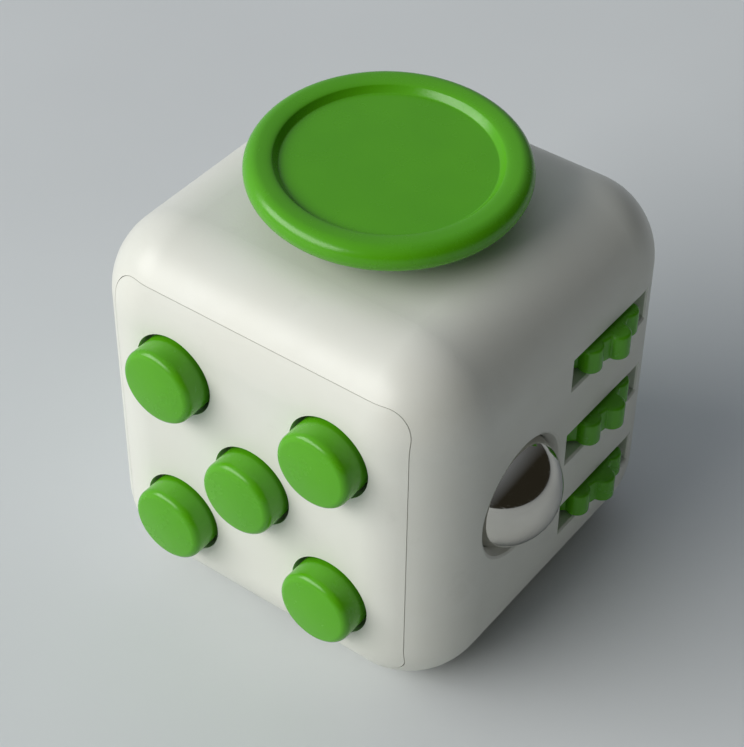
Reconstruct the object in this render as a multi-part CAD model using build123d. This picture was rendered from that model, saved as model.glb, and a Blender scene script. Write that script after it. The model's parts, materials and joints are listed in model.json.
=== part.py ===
from build123d import *
import math
import os

# A palm-sized fidget cube.  Millimetres, +Z up, origin at the middle of the face it rests on.
# Front (-Y): five push buttons.  Top (+Z): tilting joystick disc.  Right (+X): three thumb gears
# and a press-in steel ball.  Left (-X): flip rocker.  Back (+Y): spin dial.  Bottom: thumb dish.

# ---------------------------------------------------------------- shell and front cover
CUBE = 33.0                 # across the flats of the cube
EDGE_R = 6.5                # rounding of every outer edge
WALL = 3.05                 # side walls, floor, roof and back wall
OPENING_R = 2.2             # corner rounding of the front opening
SEAM = 0.05                 # gap all round between cover and shell
COVER_T = 2.2               # thickness of the front cover
CORNER_REST = 3.4           # legs of the gussets that the cover seats on
REST_DEPTH = 6.8            # how far the gussets run back
DISH_R = 8.2                # thumb dish in the bottom face
DISH_DEPTH = 1.4
EDGE_BREAK = 0.15           # small chamfer where an opening meets an outer face

CLIP_X = 6.0                # snap clips of the cover, two on the top edge and two on the bottom
CLIP_W = 4.0
CLIP_T = 1.0
CLIP_LEN = 3.6
CLIP_HOOK = 0.35
CLIP_HOOK_LEN = 0.9
CLIP_GAP = 0.1

# ---------------------------------------------------------------- buttons
BUTTON_R = 3.17
BUTTON_PITCH = 7.16         # from the middle button to a corner button, along each side
BUTTON_PROUD = 2.3          # stands out of the cover
BUTTON_EDGE = 0.6           # rounding at the rim of the cap
BUTTON_CROWN = 0.18         # doming of the cap
BUTTON_GAP = 0.33           # between cap and hole
BUTTON_TRAVEL = 0.8
FLANGE_LIP = 0.93           # flange past the cap, all round
FLANGE_T = 0.7
NUB_R = 1.6
NUB_LEN = 0.6
FIT = 0.05                  # radial running clearance of pins and shafts
PLAY = 0.1                  # end play between moving faces

# ---------------------------------------------------------------- click switches and their board
SWITCH = 6.0                # square body
SWITCH_T = 3.2
SWITCH_PLATE_T = 0.3
PLUNGER_R = 1.7
PLUNGER_LEN = 1.9
PLUNGER_PROUD = 0.95
BOARD = 20.4
BOARD_T = 1.2
BOARD_CORNER = 1.6
BOARD_NOTCH_GAP = 0.3       # between the notch in the edge and the pressed-in ball cup
PAD_R = 2.0                 # silicone plugs behind the two silent buttons
LEG_R = 0.3
LEG_PROUD = 0.5
LEG_IN_X = 0.75             # legs in from the sides of the switch body
LEG_IN_Z = 0.5
POST_AT = 8.8               # board posts of the cover: two for screws and one with a peg
POST_R = 1.5
PEG_R = 0.8

# ---------------------------------------------------------------- screws (all the same cut)
SCREW_R = 0.6
SCREW_HEAD_R = 1.3
SCREW_HEAD_T = 0.8
SCREW_BITE = 2.0            # how deep a screw goes into a wall
SLOT_W = 0.35
SLOT_DEPTH = 0.35

# ---------------------------------------------------------------- joystick
DISC_R = 10.6               # outside of the rolled rim
RIM_R = 1.1                 # radius of the rolled rim
RIM_RISE = 3.5              # middle of the rim above the top face
FLOOR_R = 8.0               # flat of the recess
RECESS = 0.65               # depth of the recess
RECESS_SLOPE = 0.45
DISC_T = 1.2
BOSS_R = 2.7
DOME_R = 7.0                # about the tilting centre
DOME_RISE = 1.5             # top of the dome above the top face
DOME_T = 1.1
DOME_GAP = 0.3              # between dome and its seat in the roof
DOME_ANGLE = 58.0           # half angle of the dome
LEAN_PITCH = 2.5            # how far it leans to the front at rest, degrees
LEAN_ROLL = 2.5             # and to the right
STEM_R = 1.5
STEM_TOP_SKIN = 0.75        # disc left above the stem
FOOT_R = 3.0
FOOT_T = 0.8
FOOT_DROP = 3.3             # underside of the foot below the tilting centre
RING_R = 6.4
RING_HOLE_R = 4.6
RING_T = 2.0
PIVOT_PIN_R = 0.6
CROSS_PIN_R = 0.5
EAR_GAP = 0.35
EAR_T = 1.6
EAR_W = 3.6
FRAME_HOLE_GAP = 0.7        # between gimbal ring and frame plate
FRAME_W = 2.5               # width of the frame's ring plate
FRAME_T = 1.0
FRAME_BASE_DROP = 7.7       # underside of the frame's base below the tilting centre
FRAME_BASE_T = 1.2
FRAME_BASE_W = 5.0
COIL_R = 2.3
COIL_WIRE_R = 0.25
COIL_TURNS = 4
COIL_PLAY = 0.3             # spring to the leaning foot

# ---------------------------------------------------------------- thumb gears
GEAR_PROUD = 1.51           # lobes stand out of the right face
GEAR_Y = 6.0                # their common axle behind the middle
GEAR_STEP = 7.55            # from one gear to the next
GEAR_T = 2.3
GEAR_LOBES = 10
LOBE_R = 0.95
LOBE_AT = 4.36
GEAR_DISC_R = 4.43
GEAR_ROOT_R = 0.25          # rounding between lobes
GEAR_EDGE = 0.2
GEAR_TURNS = (3.4, 7.5, 1.2)    # where each gear happens to stand, bottom to top, degrees
GEAR_SLOT_PLAY = 0.3        # slot above and below a gear
GEAR_SLOT_GAP = 0.32        # slot past the lobes at each end
GEAR_BAY_WALL = 1.6         # shell wall left in front of the gears
GEAR_BAY_GAP = 0.25
AXLE_R = 0.8
SPACER_R = 1.6
END_WASHER_T = 0.25         # thinnest spacers, at the two ends of the axle
END_GAP = 0.05
BRACKET_T = 1.1
BRACKET_W = 6.0
BRACKET_WEB_GAP = 0.4
TAB_LEN = 2.6
TAB_T = 1.2

# ---------------------------------------------------------------- press-in ball
BALL_R = 4.76
BALL_PROUD = 2.75
BALL_Y = -5.2
BALL_LIP_GAP = 0.05         # between ball and the lip that holds it in
BALL_LIP_DEPTH = 0.8        # of the flared mouth
BALL_FLARE = 0.45
BALL_BORE_GAP = 0.2
BALL_TRAVEL = 0.8
CUP_WALL = 0.5
CUP_SEAT_GAP = 0.08
CUP_BACK = 0.9
CUP_FLANGE = 0.55           # flange past the cup
CUP_FLANGE_T = 1.1
CUP_STEM_R = 1.2
CUP_STEM_LEN = 1.9
BALL_SPRING_LEN = 2.0
BALL_COIL_R = 1.9
BALL_WIRE_R = 0.22
BALL_COIL_TURNS = 3
BRIDGE_T = 1.1
BRIDGE_W = 4.4
BRIDGE_GAP = 0.7            # between the cup's flange and the legs
BRIDGE_LEG_T = 1.4

# ---------------------------------------------------------------- flip rocker
ROCKER_PIN_GAP = 0.15       # between the hinge pin and the wall
ROCKER_HALF = 5.8
ROCKER_W = 7.2
ROCKER_TILT = 10.0
ROCKER_PROUD = 0.4          # middle of the paddle outside the face
ROCKER_PADDLE_T = 1.5
ROCKER_END_R = 0.5          # rounding of the paddle's two ends
ROCKER_SIDE_R = 0.3         # rounding of its sides
ROCKER_GAP = 0.25
ROCKER_BOSS_R = 1.7
ROCKER_PIN_R = 0.7
ROCKER_TAIL = 3.2
ROCKER_TAIL_W = 2.6
PLUNGER_PIN_R = 0.6
PLUNGER_REACH = 4.2
CAM_T = 0.5
ROCKER_ARM_T = 1.2
ROCKER_ARM_H = 4.8
ROCKER_TAB = 3.0

# ---------------------------------------------------------------- spin dial
DIAL_R = 8.0
DIAL_T = 2.0
DIAL_EDGE = 0.7
DIAL_LIFT = 0.1
DIAL_RING_R = 3.0           # finger groove
DIAL_RING_T = 0.5
DIAL_NUB_AT = 5.9
DIAL_NUB_R = 1.2
HUB_R = 3.0
HUB_PAST = 0.6              # hub beyond the inside of the wall
DIAL_WASHER_R = 4.6
DIAL_WASHER_T = 0.7
DIAL_SCREW_R = 1.0
DIAL_SCREW_HEAD_R = 2.1
DIAL_SCREW_HEAD_T = 0.9
WAVE_T = 0.35

# ---------------------------------------------------------------- worked-out places
HALF = CUBE / 2
MID_Z = HALF
INNER = HALF - WALL                     # half width of the cavity and of the front opening
COVER_HALF = INNER - SEAM
COVER_BACK = -HALF + COVER_T            # inside face of the cover
FLANGE_R = BUTTON_R + FLANGE_LIP
FLANGE_FRONT = COVER_BACK + PLAY
NUB_END = FLANGE_FRONT + FLANGE_T + NUB_LEN
SWITCH_FRONT = NUB_END + PLAY / 2 + PLUNGER_PROUD
BOARD_FRONT = SWITCH_FRONT + SWITCH_T
BOARD_BACK = BOARD_FRONT + BOARD_T
LEG_X = SWITCH / 2 - LEG_IN_X
LEG_Z = SWITCH / 2 - LEG_IN_Z
PIVOT_Z = CUBE + DOME_RISE - DOME_R             # tilting centre of the joystick
ROOF_Z = CUBE - WALL
RIM_Z = CUBE + RIM_RISE
FRAME_HOLE_R = RING_R + FRAME_HOLE_GAP
FRAME_R = FRAME_HOLE_R + FRAME_W
GEAR_TIP_R = LOBE_AT + LOBE_R
GEAR_X = HALF + GEAR_PROUD - GEAR_TIP_R
GEAR_BAY_X = HALF - GEAR_BAY_WALL               # front of the bay that the gears turn in
GEAR_SLOT_HALF = math.sqrt(GEAR_TIP_R**2 - (GEAR_BAY_X - GEAR_X) ** 2) + GEAR_SLOT_GAP
GEAR_SLOT_T = GEAR_T + 2 * GEAR_SLOT_PLAY
BALL_X = HALF + BALL_PROUD - BALL_R
BALL_LIP_X = HALF - BALL_LIP_DEPTH
BALL_LIP_R = math.sqrt(BALL_R**2 - (BALL_LIP_X - BALL_X) ** 2) + BALL_LIP_GAP
BALL_MOUTH_R = BALL_LIP_R + BALL_FLARE
BALL_BORE_R = BALL_R + BALL_BORE_GAP
CUP_R = BALL_R + CUP_WALL
CUP_FLANGE_R = CUP_R + CUP_FLANGE
CUP_BALL_R = BALL_R + CUP_SEAT_GAP + CUP_BACK  # round back of the cup
CUP_RIM_X = INNER - PLAY
CUP_BACK_X = BALL_X - CUP_BALL_R
BRIDGE_X = CUP_BACK_X - BALL_SPRING_LEN         # face the spring pushes on
BRIDGE_REACH = CUP_FLANGE_R + BRIDGE_GAP
ROCKER_X = -(INNER - ROCKER_PIN_R - ROCKER_PIN_GAP)
ROCKER_SLOPE = math.radians(ROCKER_TILT)
ROCKER_MID = HALF + ROCKER_X + ROCKER_PROUD       # pin to the outside of the paddle
ROCKER_END = ROCKER_MID + ROCKER_HALF * math.tan(ROCKER_SLOPE)

CLICK_BUTTONS = ("top_left", "centre", "bottom_right")
SILENT_BUTTONS = ("top_right", "bottom_left")
BUTTONS = {
    "top_left": (-BUTTON_PITCH, MID_Z + BUTTON_PITCH),
    "top_right": (BUTTON_PITCH, MID_Z + BUTTON_PITCH),
    "centre": (0, MID_Z),
    "bottom_left": (-BUTTON_PITCH, MID_Z - BUTTON_PITCH),
    "bottom_right": (BUTTON_PITCH, MID_Z - BUTTON_PITCH),
}
GEARS = {
    "gear_bottom": (MID_Z - GEAR_STEP, GEAR_TURNS[0]),
    "gear_middle": (MID_Z, GEAR_TURNS[1]),
    "gear_top": (MID_Z + GEAR_STEP, GEAR_TURNS[2]),
}


# ---------------------------------------------------------------- simple solids
def block(x, y, z):
    """Box between two corners, each argument a (low, high) pair."""
    size = [high - low for low, high in (x, y, z)]
    middle = [(high + low) / 2 for low, high in (x, y, z)]
    return Pos(*middle) * Box(*size)


def along(axis, shape, start, end, across):
    """Puts a shape centred on Z into start..end along an axis; across holds the other two places."""
    middle = (start + end) / 2
    first, second = across
    if axis == "X":
        return Pos(middle, first, second) * Rot(0, 90, 0) * shape
    if axis == "Y":
        return Pos(first, middle, second) * Rot(-90, 0, 0) * shape
    return Pos(first, second, middle) * shape


def rod(axis, radius, start, end, across):
    return along(axis, Cylinder(radius, end - start), start, end, across)


def cone(axis, start_radius, end_radius, start, end, across):
    return along(axis, Cone(start_radius, end_radius, end - start), start, end, across)


def tube(axis, outer, inner, start, end, across):
    return rod(axis, outer, start, end, across) - rod(axis, inner, start, end, across)


def turned(points):
    """Solid of revolution about Z from a closed outline of (radius, height) points."""
    outline = Polyline(*[(r, 0, z) for r, z in points], close=True)
    return revolve(make_face(outline), Axis.Z, 360)


def screw(axis, seat, into, across):
    """Pan-head screw: head on the near side of seat, shank going the way of the sign of into."""
    way = 1 if into > 0 else -1
    head = sorted((seat, seat - way * SCREW_HEAD_T))
    shank = sorted((seat, seat + into))
    body = rod(axis, SCREW_HEAD_R, *head, across) + rod(axis, SCREW_R, *shank, across)
    top = seat - way * SCREW_HEAD_T
    cut = sorted((top, top + way * SLOT_DEPTH))
    return body - along(axis, Box(SLOT_W, 3 * SCREW_HEAD_R, cut[1] - cut[0]), *cut, across)


def coil(radius, wire_radius, height, turns):
    """Round-wire compression spring standing on Z = 0."""
    rise = height - 2 * wire_radius
    path = Helix(pitch=rise / turns, height=rise, radius=radius)
    wire = Plane(origin=path @ 0, z_dir=path % 0) * Circle(wire_radius)
    return Pos(0, 0, wire_radius) * sweep(wire, path)


# ---------------------------------------------------------------- shell
def rounded_cube():
    cube = Box(CUBE, CUBE, CUBE)
    return Pos(0, 0, MID_Z) * fillet(cube.edges(), EDGE_R)


def opening(half, corner, y):
    """Square prism with rounded corners that runs along Y."""
    low, high = y
    face = RectangleRounded(2 * half, 2 * half, corner)
    return along("Y", extrude(face, (high - low) / 2, both=True), low, high, (0, MID_Z))


def clip_z(side, reach):
    """Low and high Z of something that lies against the roof (side 1) or the floor (side -1)."""
    return sorted((MID_Z + side * (COVER_HALF - CLIP_T), MID_Z + side * (COVER_HALF + reach)))


def clip_pockets():
    pockets = []
    back = COVER_BACK + CLIP_LEN
    for side in (-1, 1):
        for x in (-CLIP_X, CLIP_X):
            z = clip_z(side, SEAM + CLIP_HOOK + CLIP_GAP)
            y = (back - CLIP_HOOK_LEN - CLIP_GAP, back + CLIP_GAP)
            half = CLIP_W / 2 + CLIP_GAP
            pockets.append(block((x - half, x + half), y, z))
    return pockets


def corner_rests():
    """Four corner gussets inside the shell; the cover's back lands on their front ends."""
    front = COVER_BACK
    leg = CORNER_REST
    rests = []
    for sx in (-1, 1):
        for sz in (-1, 1):
            corner = (sx * (INNER + 0.5), sz * (INNER + 0.5))
            reach = leg + 0.5
            outline = Polyline(
                corner,
                (corner[0] - sx * reach, corner[1]),
                (corner[0], corner[1] - sz * reach),
                close=True,
            )
            solid = extrude(make_face(outline), REST_DEPTH / 2, both=True)
            turned_solid = Rot(90, 0, 0) * solid
            rests.append(Pos(0, front + REST_DEPTH / 2, MID_Z) * turned_solid)
    return rests


def gear_slots():
    y = (GEAR_Y - GEAR_SLOT_HALF, GEAR_Y + GEAR_SLOT_HALF)
    half = GEAR_SLOT_T / 2
    return [block((INNER - 1, HALF + 1), y, (z - half, z + half)) for z, _ in GEARS.values()]


def gear_bay():
    """Thinned wall behind the slots, so that the gears turn clear of it."""
    reach = GEAR_TIP_R + GEAR_BAY_GAP
    low, high = bracket_z()
    x = (INNER - 0.5, GEAR_BAY_X)
    return block(x, (GEAR_Y - reach, GEAR_Y + reach), (low - PLAY, high + PLAY))


def ball_mouth():
    """Flared mouth, retaining lip and guide bore, all round the ball's axis along X."""
    at = (BALL_Y, MID_Z)
    mouth = cone("X", BALL_LIP_R, BALL_MOUTH_R, BALL_LIP_X, HALF, at)
    mouth += rod("X", BALL_MOUTH_R, HALF - 0.01, HALF + 1, at)
    throat = rod("X", BALL_LIP_R, BALL_LIP_X - 0.2, BALL_LIP_X + 0.2, at)
    bore = rod("X", BALL_BORE_R, INNER - 1, BALL_LIP_X - 0.1, at)
    edge = cone("X", BALL_MOUTH_R - EDGE_BREAK, BALL_MOUTH_R + EDGE_BREAK, HALF - EDGE_BREAK, HALF, at)
    return mouth + throat + bore + edge


def dome_seat():
    """Round hole in the roof with a spherical seat for the joystick's dome."""
    seat_r = DOME_R + DOME_GAP
    ball = Pos(0, 0, PIVOT_Z) * Sphere(seat_r)
    return ball & block((-HALF, HALF), (-HALF, HALF), (ROOF_Z - 1, CUBE + 3))


def rocker_window():
    half_y = ROCKER_W / 2 + ROCKER_GAP
    sweep = ROCKER_HALF * math.cos(ROCKER_SLOPE) + ROCKER_END * math.sin(ROCKER_SLOPE)
    half_z = sweep + ROCKER_GAP
    return block((-HALF - 1, -INNER + 1), (-half_y, half_y), (MID_Z - half_z, MID_Z + half_z))


def thumb_dish():
    radius = (DISH_R**2 + DISH_DEPTH**2) / (2 * DISH_DEPTH)
    return Pos(0, 0, DISH_DEPTH - radius) * Sphere(radius)


def on_outside(edge):
    """True for an edge that runs along the outer surface of the rounded cube."""
    for step in (0, 0.25, 0.5, 0.75, 1):
        point = edge.position_at(step)
        place = (abs(point.X), abs(point.Y), abs(point.Z - MID_Z))
        past = [max(c - HALF + EDGE_R, 0) for c in place]
        if abs(math.hypot(*past) - EDGE_R) > 1e-3:
            return False
    return True


def opening_rims(shell):
    """Outer edges of the gear slots, the rocker window, the dome hole and the dial hole."""
    half = GEAR_SLOT_T / 2 + 0.01
    rims = []
    for edge in shell.edges().filter_by(on_outside):
        at = edge.center()
        level = any(abs(at.Z - z) < half for z, _ in GEARS.values())
        in_slot = level and at.X > INNER and at.Y > GEAR_Y - GEAR_SLOT_HALF - 0.01
        place = sorted((abs(at.X), abs(at.Y), abs(at.Z - MID_Z)))
        in_flat = place[1] < HALF - EDGE_R - 0.01 and at.X < INNER and at.Z > WALL
        if in_slot or in_flat:
            rims.append(edge)
    return rims


def main_shell():
    shell = rounded_cube() - opening(INNER, OPENING_R, (-HALF - 1, INNER))
    inside = opening(INNER + 0.6, OPENING_R, (-HALF, INNER))
    for rest in corner_rests():
        shell += rest & inside
    shell -= clip_pockets()
    shell -= gear_bay()
    shell -= gear_slots()
    shell -= ball_mouth()
    shell -= dome_seat()
    shell -= rocker_window()
    shell -= thumb_dish()
    shell -= rod("Y", HUB_R + PLAY, INNER - 1, HALF + 1, (0, MID_Z))
    shell = chamfer(opening_rims(shell), EDGE_BREAK)
    for x, y in frame_screw_places():
        shell -= rod("Z", SCREW_R, ROOF_Z - 0.5, ROOF_Z + SCREW_BITE, (x, y))
    for y, z in bracket_screw_places() + bridge_screw_places():
        shell -= rod("X", SCREW_R, INNER - 0.5, INNER + SCREW_BITE, (y, z))
    for y in rocker_screw_places():
        shell -= rod("X", SCREW_R, -INNER - SCREW_BITE, -INNER + 0.5, (y, MID_Z))
    return shell


# ---------------------------------------------------------------- front cover and its buttons
def front_cover():
    corner = OPENING_R - SEAM
    cover = rounded_cube() & opening(COVER_HALF, corner, (-HALF - 1, COVER_BACK))
    for x, z in BUTTONS.values():
        cover -= rod("Y", BUTTON_R + BUTTON_GAP, -HALF - 1, COVER_BACK + 1, (x, z))
    for side in (-1, 1):
        post = rod("Y", POST_R, COVER_BACK - 0.5, BOARD_FRONT, (0, MID_Z + side * POST_AT))
        pilot = rod("Y", SCREW_R, BOARD_FRONT - 3, BOARD_FRONT + 1, (0, MID_Z + side * POST_AT))
        cover += post - pilot
        for x in (-CLIP_X, CLIP_X):
            back = COVER_BACK + CLIP_LEN
            width = (x - CLIP_W / 2, x + CLIP_W / 2)
            cover += block(width, (COVER_BACK - 0.5, back), clip_z(side, 0))
            hook = (back - CLIP_HOOK_LEN, back)
            cover += block(width, hook, clip_z(side, SEAM + CLIP_HOOK))
    cover += rod("Y", POST_R, COVER_BACK - 0.5, BOARD_FRONT, (-POST_AT, MID_Z))
    return cover + rod("Y", PEG_R, BOARD_FRONT - 0.5, BOARD_BACK, (-POST_AT, MID_Z))


def button(x, z):
    """Domed cap, flange that stops it behind the cover, and the nub that presses its switch."""
    top = BUTTON_PROUD
    base = -COVER_T - PLAY
    flange = base - FLANGE_T
    edge = BUTTON_EDGE
    rim = top - BUTTON_CROWN
    shoulder = BUTTON_R - edge
    bevel = edge * (1 - math.sqrt(0.5))
    crown_r = (shoulder**2 + BUTTON_CROWN**2) / (2 * BUTTON_CROWN)
    halfway = top - crown_r + math.sqrt(crown_r**2 - shoulder**2 / 4)
    outline = (
        Polyline((0, 0, top), (0, 0, flange - NUB_LEN), (NUB_R, 0, flange - NUB_LEN))
        + Polyline((NUB_R, 0, flange - NUB_LEN), (NUB_R, 0, flange), (FLANGE_R, 0, flange))
        + Polyline((FLANGE_R, 0, flange), (FLANGE_R, 0, base), (BUTTON_R, 0, base))
        + Line((BUTTON_R, 0, base), (BUTTON_R, 0, rim - edge))
        + ThreePointArc(
            (BUTTON_R, 0, rim - edge), (BUTTON_R - bevel, 0, rim - bevel), (shoulder, 0, rim)
        )
        + ThreePointArc((shoulder, 0, rim), (shoulder / 2, 0, halfway), (0, 0, top))
    )
    cap = revolve(make_face(outline), Axis.Z, 360)
    return Pos(x, -HALF, z) * Rot(90, 0, 0) * cap


def click_plunger(x, z):
    start = SWITCH_FRONT - PLUNGER_PROUD
    return rod("Y", PLUNGER_R, start, start + PLUNGER_LEN, (x, z))


def switch_plate_front():
    return SWITCH_FRONT - SWITCH_PLATE_T


def click_switch(x, z):
    """Square switch body, bored for its plunger with room for the full travel."""
    half = SWITCH / 2
    body = block((x - half, x + half), (SWITCH_FRONT, BOARD_FRONT), (z - half, z + half))
    bottom = SWITCH_FRONT - PLUNGER_PROUD + PLUNGER_LEN + BUTTON_TRAVEL + PLAY
    return body - rod("Y", PLUNGER_R + FIT, SWITCH_FRONT - 1, bottom, (x, z))


def switch_plates():
    """Sheet-metal front plates of the click switches."""
    half = SWITCH / 2 - 0.2
    plates = []
    for name in CLICK_BUTTONS:
        x, z = BUTTONS[name]
        y = (switch_plate_front(), SWITCH_FRONT)
        plate = block((x - half, x + half), y, (z - half, z + half))
        plates.append(plate - rod("Y", PLUNGER_R + 2 * FIT, y[0] - 1, y[1] + 1, (x, z)))
    return plates


def leg_places():
    places = []
    for name in CLICK_BUTTONS:
        x, z = BUTTONS[name]
        places += [(x + sx * LEG_X, z + sz * LEG_Z) for sx in (-1, 1) for sz in (-1, 1)]
    return places


def switch_legs():
    return [rod("Y", LEG_R, BOARD_FRONT, BOARD_BACK + LEG_PROUD, at) for at in leg_places()]


def silent_pad(x, z):
    """Silicone plug that gives a silent button its soft return."""
    return rod("Y", PAD_R, NUB_END + PLAY / 2, BOARD_FRONT, (x, z))


def switch_board():
    half = BOARD / 2
    board = block((-half, half), (BOARD_FRONT, BOARD_BACK), (MID_Z - half, MID_Z + half))
    board = chamfer(board.edges().filter_by(Axis.Y), BOARD_CORNER)
    for at in leg_places():
        board -= rod("Y", LEG_R + FIT, BOARD_FRONT - 1, BOARD_BACK + 1, at)
    for side in (-1, 1):
        board -= rod("Y", SCREW_R + FIT, BOARD_FRONT - 1, BOARD_BACK + 1, (0, MID_Z + side * POST_AT))
    board -= rod("Y", PEG_R + FIT, BOARD_FRONT - 1, BOARD_BACK + 1, (-POST_AT, MID_Z))
    across = BALL_X - BALL_TRAVEL - half
    notch = math.sqrt(max(0, CUP_BALL_R**2 - across**2 - (BALL_Y - BOARD_BACK) ** 2))
    notch += BOARD_NOTCH_GAP
    notch_x = CUP_BACK_X - BALL_TRAVEL - BOARD_NOTCH_GAP
    y = (BOARD_FRONT - 1, BOARD_BACK + 1)
    return board - block((notch_x, HALF), y, (MID_Z - notch, MID_Z + notch))


def board_screws():
    reach = -(BOARD_T + SCREW_BITE)
    return [screw("Y", BOARD_BACK, reach, (0, MID_Z + side * POST_AT)) for side in (-1, 1)]


# ---------------------------------------------------------------- joystick
def pitched(shape):
    """Turns an upright piece of the gimbal about the left-right axis to where it rests."""
    pivot = Pos(0, 0, PIVOT_Z)
    return pivot * Rot(LEAN_PITCH, 0, 0) * pivot.inverse() * shape


def leaning(shape):
    """Turns an upright piece of the joystick about both gimbal axes to where it rests."""
    pivot = Pos(0, 0, PIVOT_Z)
    return pitched(pivot * Rot(0, LEAN_ROLL, 0) * pivot.inverse() * shape)


def joystick_cap():
    """Disc with a rolled rim and a shallow flat recess, and the boss that takes the stem."""
    rim_at = DISC_R - RIM_R
    floor_z = RIM_Z + RIM_R - RECESS
    under = floor_z - DISC_T
    crown = RIM_Z + RIM_R
    dome_top = PIVOT_Z + DOME_R
    plate = turned(
        [
            (0, under),
            (rim_at, under),
            (rim_at, crown),
            (FLOOR_R + RECESS_SLOPE, crown),
            (FLOOR_R, floor_z),
            (0, floor_z),
        ]
    )
    rim = Pos(0, 0, RIM_Z) * Torus(rim_at, RIM_R)
    boss = rod("Z", BOSS_R, dome_top + FIT, under + 0.1, (0, 0))
    bore = rod("Z", STEM_R, dome_top - 1, floor_z - STEM_TOP_SKIN, (0, 0))
    return leaning(plate + rim + boss - bore)


def joystick_dome():
    """Dust dome that fills the round hole in the roof as the stem tilts."""
    shell = Sphere(DOME_R) - Sphere(DOME_R - DOME_T)
    height = DOME_R * math.cos(math.radians(DOME_ANGLE))
    shell &= block((-HALF, HALF), (-HALF, HALF), (height, DOME_R + 1))
    shell -= rod("Z", STEM_R, 0, DOME_R + 1, (0, 0))
    return leaning(Pos(0, 0, PIVOT_Z) * shell)


def joystick_stem():
    top = RIM_Z + RIM_R - RECESS - STEM_TOP_SKIN
    foot = PIVOT_Z - FOOT_DROP
    stem = rod("Z", STEM_R, foot, top, (0, 0)) + rod("Z", FOOT_R, foot, foot + FOOT_T, (0, 0))
    return leaning(stem - rod("Y", CROSS_PIN_R, -FOOT_R, FOOT_R, (0, PIVOT_Z)))


def stem_pin():
    reach = RING_R - 0.2
    return leaning(rod("Y", CROSS_PIN_R, -reach, reach, (0, PIVOT_Z)))


def gimbal_ring():
    half = RING_T / 2
    ring = tube("Z", RING_R, RING_HOLE_R, PIVOT_Z - half, PIVOT_Z + half, (0, 0))
    ring -= rod("Y", CROSS_PIN_R + FIT, -RING_R - 1, RING_R + 1, (0, PIVOT_Z))
    return pitched(ring - rod("X", PIVOT_PIN_R, -RING_R - 1, RING_R + 1, (0, PIVOT_Z)))


def gimbal_pins():
    outer = RING_R + EAR_GAP + EAR_T
    return [
        rod("X", PIVOT_PIN_R, *sorted((side * (RING_HOLE_R + 0.2), side * outer)), (0, PIVOT_Z))
        for side in (-1, 1)
    ]


def frame_screw_places():
    at = (FRAME_R + FRAME_HOLE_R) / 2 * math.sqrt(0.5)
    return [(sx * at, sy * at) for sx in (-1, 1) for sy in (-1, 1)]


def joystick_frame():
    """Ring plate under the roof with two ears for the gimbal and a base below for the spring."""
    frame = tube("Z", FRAME_R, FRAME_HOLE_R, ROOF_Z - FRAME_T, ROOF_Z, (0, 0))
    inner = RING_R + EAR_GAP
    base_z = PIVOT_Z - FRAME_BASE_DROP
    for side in (-1, 1):
        x = sorted((side * inner, side * (inner + EAR_T)))
        frame += block(x, (-EAR_W / 2, EAR_W / 2), (base_z, ROOF_Z))
    half = inner + EAR_T
    y = (-FRAME_BASE_W / 2, FRAME_BASE_W / 2)
    frame += block((-half, half), y, (base_z, base_z + FRAME_BASE_T))
    frame -= dome_seat()
    frame -= rod("X", PIVOT_PIN_R + FIT, -half - 1, half + 1, (0, PIVOT_Z))
    for at in frame_screw_places():
        frame -= rod("Z", SCREW_R + FIT, ROOF_Z - FRAME_T - 1, ROOF_Z + 1, at)
    return frame


def frame_screws():
    reach = FRAME_T + SCREW_BITE
    return [screw("Z", ROOF_Z - FRAME_T, reach, at) for at in frame_screw_places()]


def centring_spring():
    base = PIVOT_Z - FRAME_BASE_DROP + FRAME_BASE_T
    room = PIVOT_Z - FOOT_DROP - base
    return Pos(0, 0, base + FIT) * coil(COIL_R, COIL_WIRE_R, room - FIT - COIL_PLAY, COIL_TURNS)


# ---------------------------------------------------------------- thumb gears
def thumb_gear(z, turn):
    """Disc with a ring of round lobes, bored to run free on the axle."""
    face = Circle(GEAR_DISC_R)
    for k in range(GEAR_LOBES):
        angle = math.radians(turn) + 2 * math.pi * k / GEAR_LOBES
        face += Pos(LOBE_AT * math.cos(angle), LOBE_AT * math.sin(angle)) * Circle(LOBE_R)
    face = fillet(face.vertices(), GEAR_ROOT_R)
    gear = extrude(face, GEAR_T / 2, both=True)
    rims = gear.edges().filter_by(lambda e: abs(abs(e.center().Z) - GEAR_T / 2) < 1e-6)
    gear = chamfer(rims, GEAR_EDGE)
    gear -= Cylinder(AXLE_R + FIT, 2 * GEAR_T)
    return Pos(GEAR_X, GEAR_Y, z) * gear


def bracket_z():
    """Low Z of the lower arm and high Z of the upper arm."""
    reach = GEAR_STEP + GEAR_T / 2 + PLAY + END_WASHER_T + END_GAP + BRACKET_T
    return MID_Z - reach, MID_Z + reach


def bracket_screw_places():
    low, high = bracket_z()
    return [(GEAR_Y, low - TAB_LEN / 2), (GEAR_Y, high + TAB_LEN / 2)]


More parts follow.
